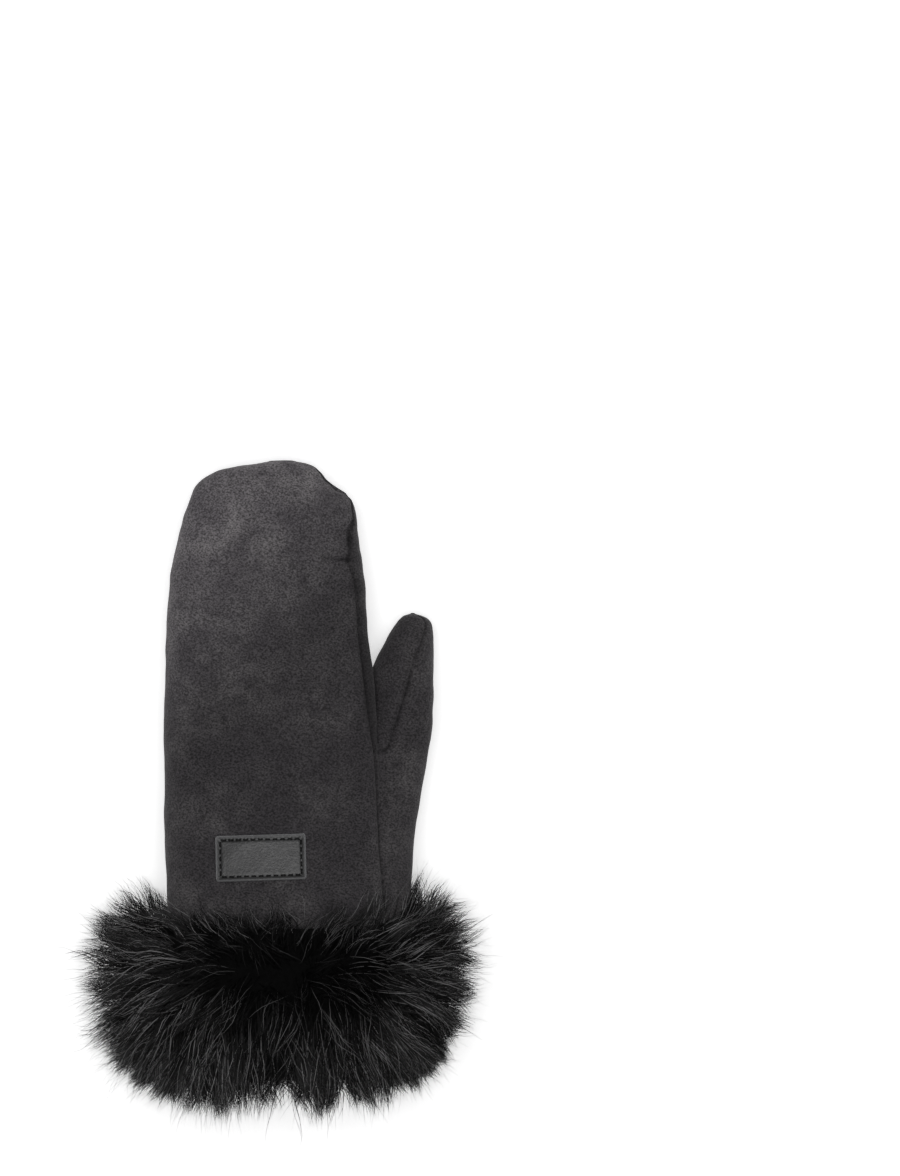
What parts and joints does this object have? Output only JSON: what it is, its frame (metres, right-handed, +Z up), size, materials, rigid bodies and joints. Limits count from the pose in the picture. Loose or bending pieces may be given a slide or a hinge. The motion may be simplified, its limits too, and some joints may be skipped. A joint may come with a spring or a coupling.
{
  "type": "mitten",
  "caption": "Left-hand suede sheepskin mitten with a separate thumb, a long-haired fur cuff and a bare sewn leather patch, lying palm down.",
  "frame": {"origin": "on the flat of the palm where the mitten rests, level with the base of the thumb", "axes": "+Y towards the fingertips, +X towards the thumb, +Z up through the back of the hand"},
  "size_m": [0.1849, 0.3036, 0.083],
  "materials": {
    "suede": "napped suede, matt",
    "fur": "long glossy hair",
    "patch_leather": "grained, semi-gloss"
  },
  "bodies": {
    "root": {"back_panel": "suede", "palm_panel": "suede", "thumb_panel": "suede", "fur_cuff": "fur", "label": "patch_leather"}
  },
  "joints": []
}
